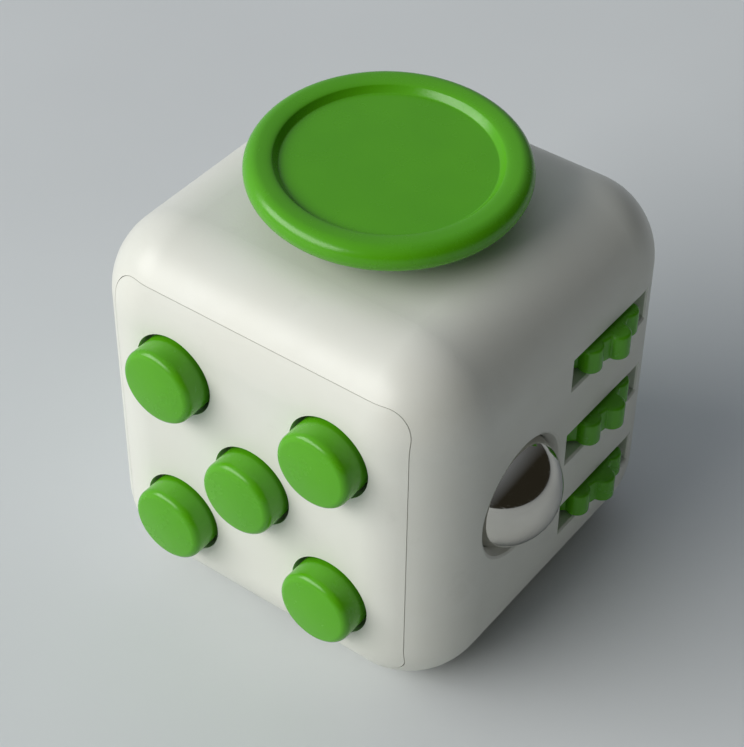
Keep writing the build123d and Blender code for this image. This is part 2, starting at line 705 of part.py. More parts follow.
def gear_bracket():
    """C-shaped carrier: a web, two arms that hold the axle, and two tabs against the wall."""
    low, high = bracket_z()
    y = (GEAR_Y - BRACKET_W / 2, GEAR_Y + BRACKET_W / 2)
    web_x = GEAR_X - GEAR_TIP_R - BRACKET_WEB_GAP - BRACKET_T
    bracket = block((web_x, web_x + BRACKET_T), y, (low, high))
    arm_x = (web_x, GEAR_BAY_X - PLAY)
    bracket += block(arm_x, y, (low, low + BRACKET_T))
    bracket += block(arm_x, y, (high - BRACKET_T, high))
    tabs = block((INNER - TAB_T, INNER), y, (low - TAB_LEN, high + TAB_LEN))
    tabs -= block((0, HALF), (-HALF, HALF), (low + 0.1, high - 0.1))
    bracket += tabs & opening(INNER, OPENING_R, (-HALF, HALF))
    bracket -= rod("Z", AXLE_R, low - 1, high + 1, (GEAR_X, GEAR_Y))
    for at in bracket_screw_places():
        bracket -= rod("X", SCREW_R + FIT, INNER - TAB_T - 1, INNER + 1, at)
    return bracket


def bracket_screws():
    reach = TAB_T + SCREW_BITE
    return [screw("X", INNER - TAB_T, reach, at) for at in bracket_screw_places()]


def gear_axle():
    low, high = bracket_z()
    return rod("Z", AXLE_R, low, high, (GEAR_X, GEAR_Y))


def gear_spacers():
    """Tubes and end washers that keep the gears level with their slots."""
    low, high = bracket_z()
    stops = [low + BRACKET_T] + [z for z, _ in sorted(GEARS.values())] + [high - BRACKET_T]
    spacers = []
    for k in range(len(stops) - 1):
        start = stops[k] + (PLAY + GEAR_T / 2 if k else END_GAP)
        end = stops[k + 1] - (PLAY + GEAR_T / 2 if k < len(stops) - 2 else END_GAP)
        spacers.append(tube("Z", SPACER_R, AXLE_R + FIT, start, end, (GEAR_X, GEAR_Y)))
    return spacers


# ---------------------------------------------------------------- press-in ball
def steel_ball():
    return Pos(BALL_X, BALL_Y, MID_Z) * Sphere(BALL_R)


def ball_cup():
    """Cup that the ball turns in, with a flange, a spring seat and a guide stem behind."""
    at = (BALL_Y, MID_Z)
    centre = Pos(BALL_X, BALL_Y, MID_Z)
    cup = rod("X", CUP_R, CUP_BACK_X, CUP_RIM_X, at) & (centre * Sphere(CUP_BALL_R))
    cup += rod("X", CUP_FLANGE_R, CUP_RIM_X - CUP_FLANGE_T, CUP_RIM_X, at)
    cup -= centre * Sphere(BALL_R + CUP_SEAT_GAP)
    return cup + rod("X", CUP_STEM_R, CUP_BACK_X - CUP_STEM_LEN, CUP_BACK_X + 0.3, at)


def ball_spring():
    spring = coil(BALL_COIL_R, BALL_WIRE_R, BALL_SPRING_LEN - 2 * FIT, BALL_COIL_TURNS)
    return Pos(BRIDGE_X + FIT, BALL_Y, MID_Z) * Rot(0, 90, 0) * spring


def bridge_screw_places():
    reach = BRIDGE_REACH + BRIDGE_LEG_T + TAB_LEN / 2
    return [(BALL_Y, MID_Z - reach), (BALL_Y, MID_Z + reach)]


def ball_bridge():
    """Bridge over the cup that carries the spring and guides the cup's stem."""
    y = (BALL_Y - BRIDGE_W / 2, BALL_Y + BRIDGE_W / 2)
    outer = BRIDGE_REACH + BRIDGE_LEG_T
    bridge = block((BRIDGE_X - BRIDGE_T, BRIDGE_X), y, (MID_Z - outer, MID_Z + outer))
    for side in (-1, 1):
        leg = sorted((MID_Z + side * BRIDGE_REACH, MID_Z + side * outer))
        bridge += block((BRIDGE_X - BRIDGE_T, INNER), y, leg)
        tab = sorted((MID_Z + side * (outer - 0.1), MID_Z + side * (outer + TAB_LEN)))
        bridge += block((INNER - TAB_T, INNER), y, tab)
    bridge -= rod("X", CUP_STEM_R + PLAY, BRIDGE_X - BRIDGE_T - 1, BRIDGE_X + 1, (BALL_Y, MID_Z))
    for at in bridge_screw_places():
        bridge -= rod("X", SCREW_R + FIT, INNER - TAB_T - 1, INNER + 1, at)
    return bridge


def bridge_screws():
    reach = TAB_T + SCREW_BITE
    return [screw("X", INNER - TAB_T, reach, at) for at in bridge_screw_places()]


# ---------------------------------------------------------------- flip rocker
def tilted(shape):
    """Turns a level rocker piece about its pin, so that the foot of the paddle is pressed in."""
    there = Pos(ROCKER_X, 0, MID_Z)
    return there * Rot(0, -ROCKER_TILT, 0) * shape


def paddle_outline():
    """Paddle seen from the front: pin at 0, out of the cube towards -X, V-shaped outside."""
    inner = ROCKER_MID - ROCKER_PADDLE_T
    return [
        (-ROCKER_MID, 0),
        (-ROCKER_END, ROCKER_HALF),
        (-inner, ROCKER_HALF),
        (-0.9, ROCKER_BOSS_R),
        (0, ROCKER_BOSS_R),
        (0, -ROCKER_BOSS_R),
        (-0.9, -ROCKER_BOSS_R),
        (-inner, -ROCKER_HALF),
        (-ROCKER_END, -ROCKER_HALF),
    ]


def flip_rocker():
    outline = Polyline(*[(x, 0, z) for x, z in paddle_outline()], close=True)
    paddle = extrude(make_face(outline), ROCKER_W / 2, both=True)
    outer = paddle.edges().filter_by(Axis.Y).sort_by(Axis.X)[:2]
    paddle = fillet(outer, ROCKER_END_R)
    sides = paddle.edges().filter_by(
        lambda e: abs(abs(e.center().Y) - ROCKER_W / 2) < 1e-6 and e.center().X < -ROCKER_MID / 2
    )
    paddle = fillet(sides.sort_by(Axis.X)[:-4], ROCKER_SIDE_R)
    paddle += rod("Y", ROCKER_BOSS_R, -ROCKER_W / 2, ROCKER_W / 2, (0, 0))
    half = ROCKER_TAIL_W / 2
    paddle += block((0, ROCKER_TAIL), (-half, half), (-half, half))
    paddle -= rod("Y", ROCKER_PIN_R + FIT, -ROCKER_W, ROCKER_W, (0, 0))
    paddle -= rod("X", PLUNGER_PIN_R + FIT, ROCKER_PIN_R + 0.6, ROCKER_TAIL + 1, (0, 0))
    return tilted(paddle)


def rocker_plunger():
    """Round-nosed detent pin in the rocker's tail."""
    pin = rod("X", PLUNGER_PIN_R, ROCKER_TAIL - 1.2, PLUNGER_REACH - PLUNGER_PIN_R, (0, 0))
    return tilted(pin + Pos(PLUNGER_REACH - PLUNGER_PIN_R, 0, 0) * Sphere(PLUNGER_PIN_R))


def rocker_pin():
    reach = ROCKER_W / 2 + ROCKER_GAP + ROCKER_ARM_T
    return rod("Y", ROCKER_PIN_R, -reach, reach, (ROCKER_X, MID_Z))


def cam_back_x():
    return ROCKER_X + PLUNGER_REACH + PLAY + CAM_T


def rocker_cam():
    """Curved steel strip that the detent pin wipes along."""
    radius = PLUNGER_REACH + PLAY
    half = ROCKER_ARM_H / 2 - 0.2
    width = ROCKER_W / 2
    x = (ROCKER_X + radius - 1.0, cam_back_x())
    strip = block(x, (-width, width), (MID_Z - half, MID_Z + half))
    return strip - rod("Y", radius, -width - 1, width + 1, (ROCKER_X, MID_Z))


def rocker_screw_places():
    at = ROCKER_W / 2 + ROCKER_GAP + ROCKER_ARM_T + ROCKER_TAB / 2
    return [-at, at]


def rocker_frame():
    """U-shaped frame behind the window: two arms for the pin, a back for the cam, two tabs."""
    inner = ROCKER_W / 2 + ROCKER_GAP
    outer = inner + ROCKER_ARM_T
    half = ROCKER_ARM_H / 2
    z = (MID_Z - half, MID_Z + half)
    back = cam_back_x()
    frame = block((back, back + ROCKER_ARM_T), (-outer, outer), z)
    for side in (-1, 1):
        frame += block((-INNER, back + 0.1), sorted((side * inner, side * outer)), z)
        tab = sorted((side * (outer - 0.1), side * (outer + ROCKER_TAB)))
        frame += block((-INNER, -INNER + TAB_T), tab, z)
    frame -= rod("Y", ROCKER_PIN_R, -outer - 1, outer + 1, (ROCKER_X, MID_Z))
    for y in rocker_screw_places():
        frame -= rod("X", SCREW_R + FIT, -INNER - 1, -INNER + TAB_T + 1, (y, MID_Z))
    return frame


def rocker_screws():
    reach = -(TAB_T + SCREW_BITE)
    return [screw("X", -INNER + TAB_T, reach, (y, MID_Z)) for y in rocker_screw_places()]


# ---------------------------------------------------------------- spin dial
def facing_back(shape):
    """Turns a shape that stands on Z = 0 so that it stands on the back face."""
    return Pos(0, HALF, MID_Z) * Rot(-90, 0, 0) * shape


def spin_dial():
    disc = Pos(0, 0, DIAL_LIFT + DIAL_T / 2) * Cylinder(DIAL_R, DIAL_T)
    disc = fillet(disc.edges().group_by(Axis.Z)[-1], DIAL_EDGE)
    top = DIAL_LIFT + DIAL_T
    disc -= Pos(0, 0, top) * Torus(DIAL_RING_R, DIAL_RING_T)
    disc += Pos(0, -DIAL_NUB_AT, top - DIAL_NUB_R + 0.3) * Sphere(DIAL_NUB_R)
    disc += rod("Z", HUB_R, -WALL - HUB_PAST, DIAL_LIFT + 0.1, (0, 0))
    disc -= rod("Z", DIAL_SCREW_R, -WALL - HUB_PAST - 1, -HUB_PAST, (0, 0))
    return facing_back(disc)


def dial_washer():
    top = -WALL - HUB_PAST
    return facing_back(tube("Z", DIAL_WASHER_R, DIAL_SCREW_R + FIT, top - DIAL_WASHER_T, top, (0, 0)))


def dial_screw():
    seat = -WALL - HUB_PAST - DIAL_WASHER_T
    head = rod("Z", DIAL_SCREW_HEAD_R, seat - DIAL_SCREW_HEAD_T, seat, (0, 0))
    slot_z = (seat - DIAL_SCREW_HEAD_T, seat - DIAL_SCREW_HEAD_T + SLOT_DEPTH)
    head -= block((-SLOT_W / 2, SLOT_W / 2), (-DIAL_SCREW_HEAD_R, DIAL_SCREW_HEAD_R), slot_z)
    return facing_back(head + rod("Z", DIAL_SCREW_R, seat - 0.1, -HUB_PAST - 0.3, (0, 0)))


def friction_washer():
    """Thin spring washer between the back wall and the dial's washer."""
    top = -WALL - 0.05
    return facing_back(tube("Z", DIAL_WASHER_R, HUB_R + PLAY, top - WAVE_T, top, (0, 0)))


# ---------------------------------------------------------------- all the pieces
def pieces():
    nodes = {
        "main_shell": main_shell(),
        "front_cover": front_cover(),
        "switch_board": switch_board(),
        "board_screws": board_screws(),
        "switch_plates": switch_plates(),
        "switch_legs": switch_legs(),
        "joystick_cap": joystick_cap(),
        "joystick_dome": joystick_dome(),
        "joystick_stem": joystick_stem(),
        "stem_pin": stem_pin(),
        "gimbal_ring": gimbal_ring(),
        "gimbal_pins": gimbal_pins(),
        "joystick_frame": joystick_frame(),
        "frame_screws": frame_screws(),
        "centring_spring": centring_spring(),
        "gear_bracket": gear_bracket(),
        "bracket_screws": bracket_screws(),
        "gear_axle": gear_axle(),
        "gear_spacers": gear_spacers(),
        "steel_ball": steel_ball(),
        "ball_cup": ball_cup(),
        "ball_spring": ball_spring(),
        "ball_bridge": ball_bridge(),
        "bridge_screws": bridge_screws(),
        "flip_rocker": flip_rocker(),
        "rocker_plunger": rocker_plunger(),
        "rocker_pin": rocker_pin(),
        "rocker_cam": rocker_cam(),
        "rocker_frame": rocker_frame(),
        "rocker_screws": rocker_screws(),
        "spin_dial": spin_dial(),
        "dial_washer": dial_washer(),
        "dial_screw": dial_screw(),
        "friction_washer": friction_washer(),
    }
    for name, (x, z) in BUTTONS.items():
        nodes[f"button_{name}"] = button(x, z)
    for name in CLICK_BUTTONS:
        nodes[f"click_switch_{name}"] = click_switch(*BUTTONS[name])
        nodes[f"click_plunger_{name}"] = click_plunger(*BUTTONS[name])
    for name in SILENT_BUTTONS:
        nodes[f"silent_pad_{name}"] = silent_pad(*BUTTONS[name])
    for name, (z, turn) in GEARS.items():
        nodes[name] = thumb_gear(z, turn)
    return nodes


os.makedirs("parts", exist_ok=True)
for name, piece in pieces().items():
    solid = Compound(children=list(piece)) if isinstance(piece, list) else piece
    export_step(solid, f"parts/{name}.step")
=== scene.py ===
import json
import math

import bpy
import numpy as np
from mathutils import Matrix, Vector


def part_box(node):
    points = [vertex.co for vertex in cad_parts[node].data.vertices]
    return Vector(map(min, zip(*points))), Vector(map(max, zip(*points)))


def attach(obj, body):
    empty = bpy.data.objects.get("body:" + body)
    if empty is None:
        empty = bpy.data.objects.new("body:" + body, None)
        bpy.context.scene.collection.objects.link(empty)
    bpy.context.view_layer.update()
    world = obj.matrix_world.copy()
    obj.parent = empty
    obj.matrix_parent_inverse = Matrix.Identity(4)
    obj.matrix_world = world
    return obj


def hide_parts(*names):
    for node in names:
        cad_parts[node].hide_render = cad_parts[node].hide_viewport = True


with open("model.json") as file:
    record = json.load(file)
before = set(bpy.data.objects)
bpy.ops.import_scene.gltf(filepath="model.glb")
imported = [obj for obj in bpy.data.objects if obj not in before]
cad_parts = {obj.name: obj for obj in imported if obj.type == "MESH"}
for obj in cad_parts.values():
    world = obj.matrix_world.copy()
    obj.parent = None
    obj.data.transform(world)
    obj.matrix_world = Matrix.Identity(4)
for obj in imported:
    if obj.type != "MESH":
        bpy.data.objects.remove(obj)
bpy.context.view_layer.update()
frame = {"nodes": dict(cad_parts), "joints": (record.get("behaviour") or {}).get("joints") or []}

MM = 0.001

# ------------------------------------------------------------------ main shell
# A five-sided box of off-white ABS, injection moulded in one shot with walls about 3 mm thick.
# The tool was lightly blasted, so the skin is satin; handling has polished the rounded edges.
CUBE = 33.0 * MM
EDGE_R = 6.5 * MM
WHITE = (0.735, 0.745, 0.685, 1)
WHITE_TINT = (0.675, 0.67, 0.59, 1)
RUBBED_IN = (0.42, 0.42, 0.36, 1)


def add(tree, kind, inputs=(), **settings):
    """Adds one shader node; inputs are (socket, value or output to link) pairs."""
    node = tree.nodes.new("ShaderNode" + kind)
    for key, value in settings.items():
        setattr(node, key, value)
    for key, value in inputs:
        if isinstance(value, bpy.types.NodeSocket):
            tree.links.new(value, node.inputs[key])
        else:
            node.inputs[key].default_value = value
    return node


def new_material(name):
    """A material with one Principled shader, and the object's own coordinates ready to read."""
    material = bpy.data.materials.new(name)
    material.use_nodes = True
    tree = material.node_tree
    place = add(tree, "TexCoord").outputs["Object"]
    return material, tree, tree.nodes["Principled BSDF"], place


def noise(tree, place, size, detail=2.0, roughness=0.5):
    """Even 3-D noise from 0 to 1 whose lumps are about size across."""
    settings = (("Vector", place), ("Scale", 1 / size), ("Detail", detail), ("Roughness", roughness))
    return add(tree, "TexNoise", settings).outputs["Fac"]


def spread(tree, value, low, high, start=0.3, end=0.7):
    """Maps start..end of a value onto low..high, held at both ends."""
    settings = (("Value", value), ("From Min", start), ("From Max", end), ("To Min", low), ("To Max", high))
    return add(tree, "MapRange", settings).outputs["Result"]


def mixed(tree, share, first, second):
    """Colour from the first, at share 0, to the second, at share 1."""
    settings = ((0, share), (6, first), (7, second))
    return add(tree, "Mix", settings, data_type="RGBA").outputs[2]


def bumps(tree, height, strength, depth, under=None):
    """Surface bump of a height from 0 to 1; depth is its full height in metres."""
    settings = [("Height", height), ("Strength", strength), ("Distance", depth)]
    if under is not None:
        settings.append(("Normal", under))
    return add(tree, "Bump", settings).outputs["Normal"]


def worn_edges(tree, place):
    """0 on the flats of the cube, about 0.4 along its rounded edges and 0.7 at the corners.

    Past the flats each coordinate runs over by up to the edge radius; the three overruns added
    up and divided by the radius give 1 on a flat and more where two or three of them meet.
    """
    middle = add(tree, "VectorMath", ((0, place), (1, (0, 0, CUBE / 2))), operation="SUBTRACT").outputs[0]
    apart = add(tree, "VectorMath", ((0, middle),), operation="ABSOLUTE").outputs[0]
    flat = CUBE / 2 - EDGE_R
    past = add(tree, "VectorMath", ((0, apart), (1, (flat, flat, flat))), operation="SUBTRACT").outputs[0]
    past = add(tree, "VectorMath", ((0, past), (1, (0, 0, 0))), operation="MAXIMUM").outputs[0]
    share = (1 / EDGE_R, 1 / EDGE_R, 1 / EDGE_R)
    total = add(tree, "VectorMath", ((0, past), (1, share)), operation="DOT_PRODUCT").outputs["Value"]
    return add(tree, "Math", ((0, total), (1, 1.0)), operation="SUBTRACT", use_clamp=True).outputs[0]


def moulded(name, colour, tint, gloss=(0.36, 0.48), grain=0.16 * MM, grain_depth=0.012 * MM):
    """Satin moulded plastic: blasted grain, the slow ripple of the cooled skin, uneven gloss."""
    material, tree, shader, place = new_material(name)
    ripple = noise(tree, place, 6 * MM, 3)
    smudge = noise(tree, place, 2.2 * MM, 5, 0.6)
    fine = noise(tree, place, grain, 2)
    shade = mixed(tree, spread(tree, ripple, 0.0, 0.5), colour, tint)
    tree.links.new(shade, shader.inputs["Base Color"])
    tree.links.new(spread(tree, smudge, *gloss), shader.inputs["Roughness"])
    slow = bumps(tree, ripple, 0.35, 0.05 * MM)
    tree.links.new(bumps(tree, fine, 0.5, grain_depth, slow), shader.inputs["Normal"])
    shader.inputs["IOR"].default_value = 1.53
    return material


def shell_plastic(name):
    """The moulded white with polished, slightly darkened edges and a few faint rubbed-in marks."""
    material, tree, shader, place = new_material(name)
    ripple = noise(tree, place, 7 * MM, 3)
    smudge = noise(tree, place, 2.4 * MM, 5, 0.6)
    marks = spread(tree, noise(tree, place, 4.5 * MM, 6, 0.7), 0.0, 0.16, 0.6, 0.8)
    edges = worn_edges(tree, place)
    worn = add(tree, "Math", ((0, edges), (1, smudge)), operation="MULTIPLY").outputs[0]
    shade = mixed(tree, spread(tree, ripple, 0.0, 0.35), WHITE, WHITE_TINT)
    shade = mixed(tree, marks, shade, RUBBED_IN)
    shade = mixed(tree, worn, shade, WHITE_TINT)
    tree.links.new(shade, shader.inputs["Base Color"])
    gloss = spread(tree, smudge, 0.4, 0.52)
    polish = add(tree, "Math", ((0, worn), (1, -0.35), (2, gloss)), operation="MULTIPLY_ADD").outputs[0]
    tree.links.new(polish, shader.inputs["Roughness"])
    slow = bumps(tree, ripple, 0.3, 0.05 * MM)
    fine = noise(tree, place, 0.2 * MM, 2)
    tree.links.new(bumps(tree, fine, 0.45, 0.012 * MM, slow), shader.inputs["Normal"])
    shader.inputs["IOR"].default_value = 1.53
    return material


def finish(material, *nodes):
    """Gives CAD nodes their material."""
    for name in nodes:
        for place in frame["nodes"][name].material_slots:
            place.material = material


finish(shell_plastic("shell_white"), "main_shell")

# ------------------------------------------------------------------ front cover
# A separate moulding of the same white ABS that snaps into the open front of the shell, with a
# hair-fine parting gap all round.  It carries the five buttons and the posts of the switch board.
finish(shell_plastic("cover_white"), "front_cover")

# ------------------------------------------------------------------ push buttons
# Five turned-looking caps of lime-green ABS, moulded face down, so their crowns are smooth and
# the rims are lightly rounded.  A flange behind the cover keeps each one in its hole.
GREEN = (0.092, 0.39, 0.004, 1)
GREEN_TINT = (0.072, 0.325, 0.004, 1)
BUTTON_EDGE = 0.62 * MM
BUTTON_CROWN = 0.18 * MM
BUTTON_PROUD = 2.3 * MM
BUTTON_R = 3.17 * MM
FLANGE_T = 0.7 * MM
NUB_R = 1.6 * MM
NUB_LEN = 0.6 * MM
GREEN_GLOSS = (0.2, 0.3)
green = moulded("lime_green", GREEN, GREEN_TINT, GREEN_GLOSS)
green.node_tree.nodes["Principled BSDF"].inputs["Specular IOR Level"].default_value = 0.36


def rounded(corners, steps=6, settle=0.03 * MM):
    """Outline through (across, up, rounding) corners, each turned on an arc tangent to both runs.

    The arc starts and ends rounding / tan(half the corner's angle) from the corner.  Each straight
    run also gets a point just inside both ends, so that shading settles before the flat begins.
    """
    points = np.array([corner[:2] for corner in corners])
    outline = [points[:1]]
    for k, (*_, radius) in enumerate(corners[1:-1], 1):
        back, on = points[k - 1] - points[k], points[k + 1] - points[k]
        back, on = back / np.hypot(*back), on / np.hypot(*on)
        half = math.acos(np.clip(back @ on, -1, 1)) / 2
        reach = radius / math.tan(half)
        centre = points[k] + (back + on) / np.hypot(*(back + on)) * radius / math.sin(half)
        start, end = points[k] + back * reach - centre, points[k] + on * reach - centre
        turn = math.pi - 2 * half
        t = np.linspace(0, 1, steps)[:, None]
        arc = (np.sin((1 - t) * turn) * start + np.sin(t * turn) * end) / math.sin(turn)
        outline += [points[k] + back * (reach + settle), centre + arc, points[k] + on * (reach + settle)]
    outline.append(points[-1:])
    return np.vstack(outline)


def turned(profile, around=144):
    """Rings of a profile of (radius, height) points turned about Z, from the top downwards."""
    profile = profile[profile[:, 0] > 1e-9]
    angle = np.linspace(0, 2 * math.pi, around, endpoint=False)
    radius, height = profile[:, :1], profile[:, 1:]
    return np.stack([radius * np.cos(angle), radius * np.sin(angle), height + 0 * angle], -1)


def skin(name, rings, material, body, nodes, hollow=False):
    """Closed mesh through a stack of closed rings, an array (ring, place round it, xyz).

    Each ring is joined to the next by a band of quads.  A hollow piece joins its last ring to its
    first; a solid one has both end rings closed by a fan to their middle.
    """
    count, around = rings.shape[:2]
    at = np.arange(count * around).reshape(count, around)
    rows = np.vstack([at, at[:1]]) if hollow else at
    low, high = rows[:-1], rows[1:]
    faces = np.stack([low, high, np.roll(high, -1, 1), np.roll(low, -1, 1)], -1).reshape(-1, 4).tolist()
    points = rings.reshape(-1, 3)
    if not hollow:
        first, last = len(points), len(points) + 1
        points = np.vstack([points, rings[0].mean(0), rings[-1].mean(0)])
        faces += np.stack([np.full(around, first), at[0], np.roll(at[0], -1)], -1).tolist()
        faces += np.stack([np.full(around, last), np.roll(at[-1], -1), at[-1]], -1).tolist()
    mesh = bpy.data.meshes.new(name)
    mesh.from_pydata(points.tolist(), [], faces)
    mesh.shade_smooth()
    mesh.materials.append(material)
    piece = bpy.data.objects.new(name, mesh)
    bpy.context.collection.objects.link(piece)
    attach(piece, body)
    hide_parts(*nodes)
    return piece


def button_profile(flange_r, depth):
    """Crown of a large sphere, quarter-round rim, straight side, flange and switch nub."""
    rim = BUTTON_PROUD - BUTTON_CROWN
    shoulder = BUTTON_R - BUTTON_EDGE
    across = np.linspace(0.04, 1, 24) * shoulder
    crown = np.stack([across, BUTTON_PROUD - BUTTON_CROWN * (across / shoulder) ** 2], 1)
    a = np.linspace(0, math.pi / 2, 10)[1:]
    edge = np.stack([shoulder + BUTTON_EDGE * np.sin(a), rim - BUTTON_EDGE * (1 - np.cos(a))], 1)
    flange = NUB_LEN - depth
    behind = [
        (BUTTON_R, rim - BUTTON_EDGE, 0),
        (BUTTON_R, flange + FLANGE_T, 0.08 * MM),
        (flange_r, flange + FLANGE_T, 0.1 * MM),
        (flange_r, flange, 0.1 * MM),
        (NUB_R, flange, 0.08 * MM),
        (NUB_R, -depth, 0.15 * MM),
        (0.1 * MM, -depth, 0),
    ]
    return np.vstack([crown, edge, rounded(behind, 4)[1:]])


for where in ("top_left", "top_right", "centre", "bottom_left", "bottom_right"):
    low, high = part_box("button_" + where)
    middle = (low + high) / 2
    face = -CUBE / 2
    rings = turned(button_profile((high.x - low.x) / 2, high.y - face), 112)
    rings = np.stack([rings[..., 0], -rings[..., 2], rings[..., 1]], -1) + (middle.x, face, middle.z)
    skin("cap_" + where, rings, green, "push_button_" + where, ["button_" + where])

# ------------------------------------------------------------------ click switches
# Three tactile switches: black glass-filled nylon bodies with a stamped tin-plate front, tinned
# legs and a round plunger, soldered to a green fibreglass board that two screws hold.
THREAD_REPEAT = 1.2 * MM
MASK_DARK = (0.01, 0.075, 0.03, 1)
MASK_GREEN = (0.018, 0.13, 0.05, 1)
black = moulded("switch_black", (0.012, 0.012, 0.013, 1), (0.02, 0.02, 0.022, 1), (0.4, 0.6), 0.08 * MM)


def rolled_metal(name, colour, gloss, stretch, depth=0.004 * MM):
    """Drawn or rolled metal: fine lines drawn out along one way, and patchy gloss."""
    material, tree, shader, place = new_material(name)
    drawn = add(tree, "Mapping", (("Vector", place), ("Scale", stretch))).outputs[0]
    lines = noise(tree, drawn, 0.12 * MM, 3)
    patches = noise(tree, place, 1.5 * MM, 4, 0.6)
    dull = tuple(0.72 * c for c in colour[:3]) + (1,)
    tree.links.new(mixed(tree, spread(tree, patches, 0, 0.6), colour, dull), shader.inputs["Base Color"])
    low, high = gloss
    rough = spread(tree, lines, low, high)
    rub = spread(tree, patches, 0.0, 0.08)
    rough = add(tree, "Math", ((0, rough), (1, rub)), operation="ADD").outputs[0]
    tree.links.new(rough, shader.inputs["Roughness"])
    tree.links.new(bumps(tree, lines, 0.4, depth), shader.inputs["Normal"])
    shader.inputs["Metallic"].default_value = 1.0
    return material


def board_laminate():
    """Solder mask over woven glass: two crossed wave patterns multiplied, darker between threads."""
    material, tree, shader, place = new_material("board_green")
    settings = (("Vector", place), ("Scale", 1 / THREAD_REPEAT), ("Distortion", 0.6))
    warp, weft = (add(tree, "TexWave", settings, bands_direction=way).outputs["Fac"] for way in "XZ")
    weave = add(tree, "Math", ((0, warp), (1, weft)), operation="MULTIPLY").outputs[0]
    shade = mixed(tree, weave, MASK_DARK, MASK_GREEN)
    tree.links.new(shade, shader.inputs["Base Color"])
    tree.links.new(spread(tree, weave, 0.22, 0.34, 0, 1), shader.inputs["Roughness"])
    tree.links.new(bumps(tree, weave, 0.3, 0.02 * MM), shader.inputs["Normal"])
    return material


CLICKING = ("top_left", "centre", "bottom_right")
plated = rolled_metal("tin_plate", (0.62, 0.6, 0.56, 1), (0.25, 0.42), (1, 1, 8))
screw_steel = rolled_metal("screw_steel", (0.5, 0.49, 0.47, 1), (0.3, 0.48), (3, 3, 1))
finish(black, *["click_switch_" + where for where in CLICKING])
finish(black, *["click_plunger_" + where for where in CLICKING])
finish(plated, "switch_plates", "switch_legs")
finish(board_laminate(), "switch_board")
finish(screw_steel, "board_screws")

# ------------------------------------------------------------------ silent buttons' plugs
# Two plugs of cast silicone behind the silent buttons: milky, soft, with a slight bloom.
silicone = moulded("silicone", (0.62, 0.62, 0.6, 1), (0.5, 0.5, 0.48, 1), (0.5, 0.65), 0.3 * MM)
silicone.node_tree.nodes["Principled BSDF"].inputs["Subsurface Weight"].default_value = 0.3
silicone.node_tree.nodes["Principled BSDF"].inputs["Subsurface Scale"].default_value = 0.8 * MM
finish(silicone, "silent_pad_top_right", "silent_pad_bottom_left")

# ------------------------------------------------------------------ joystick
# A round lime-green thumb disc with a fat rolled rim and a shallow flat recess, pressed onto a
# grey acetal stem that a gimbal ring carries; a dust dome fills the hole in the roof.
LEAN_PITCH = math.radians(2.5)
LEAN_ROLL = math.radians(2.5)
THUMB_R = 10.6 * MM
THUMB_H = 3.05 * MM
THUMB_UP = 10.1 * MM
RIM_R = 1.1 * MM
FLOOR_R = 8.0 * MM
WALL_R = 8.4 * MM
RECESS = 0.65 * MM
CREST = 0.22 * MM
UNDER = 1.85 * MM
BOSS_R = 2.7 * MM
STEM_R = 1.5 * MM
STEM_SKIN = 0.75 * MM


def disc_profile(radius, height):
    """Recess, rolled rim and boss of the disc, measured down from its highest point.

    The rim is a quarter ellipse from the recess wall up to the crest, then a circle round the
    outside to the flat underside.
    """
    rim_at = radius - RIM_R
    recess = rounded([(0.1 * MM, -RECESS, 0), (FLOOR_R, -RECESS, 0.14 * MM), (WALL_R, -CREST, 0)], 7)[:-1]
    a = np.linspace(0.06, math.pi / 2, 20)
    crest = np.stack([rim_at - (rim_at - WALL_R) * np.cos(a), -CREST * (1 - np.sin(a))], 1)
    last = math.pi - math.asin((UNDER - RIM_R) / RIM_R)
    b = np.linspace(math.pi / 2, -last, 48)[1:]
    roll = np.stack([rim_at + RIM_R * np.cos(b), RIM_R * np.sin(b) - RIM_R], 1)
    below = [
        (*roll[-1], 0),
        (BOSS_R, -UNDER, 0.25 * MM),
        (BOSS_R, -height, 0.12 * MM),
        (STEM_R, -height, 0.06 * MM),
        (STEM_R, -RECESS - STEM_SKIN, 0.05 * MM),
        (0.1 * MM, -RECESS - STEM_SKIN, 0),
    ]
    return np.vstack([recess, crest, roll, rounded(below, 5)[1:]])


pivot = next(joint for joint in frame["joints"] if joint["name"] == "joystick_roll")["pos_m"]
lean = np.array(Matrix.Rotation(LEAN_PITCH, 3, "X") @ Matrix.Rotation(LEAN_ROLL, 3, "Y"))
rings = (turned(disc_profile(THUMB_R, THUMB_H), 256) + (0, 0, THUMB_UP)) @ lean.T + pivot
skin("thumb_disc", rings, green, "joystick", ["joystick_cap"])

acetal = moulded("acetal_grey", (0.27, 0.28, 0.285, 1), (0.22, 0.23, 0.235, 1), (0.34, 0.42), 0.4 * MM)
nylon = moulded("nylon_natural", (0.6, 0.585, 0.5, 1), (0.52, 0.5, 0.42, 1), (0.42, 0.55), 0.25 * MM)
pin_steel = rolled_metal("pin_steel", (0.6, 0.59, 0.57, 1), (0.16, 0.3), (6, 6, 6))
spring_steel = rolled_metal("spring_steel", (0.42, 0.41, 0.4, 1), (0.25, 0.4), (4, 4, 1))
finish(green, "joystick_dome")
finish(acetal, "joystick_stem", "gimbal_ring")
finish(pin_steel, "stem_pin", "gimbal_pins")
finish(nylon, "joystick_frame")
finish(screw_steel, "frame_screws")
finish(spring_steel, "centring_spring")

# ------------------------------------------------------------------ thumb gears
# Three lobed wheels of the same green ABS, ten round lobes each, that turn freely on one steel
# axle behind the right wall and stand out through three slots.
LOBES = 10
LOBE_R = 0.95 * MM
LOBE_AT = 4.36 * MM
DISC_R = 4.43 * MM
BORE_R = 0.85 * MM
GEAR_EDGE = 0.3 * MM
ROOT = 34


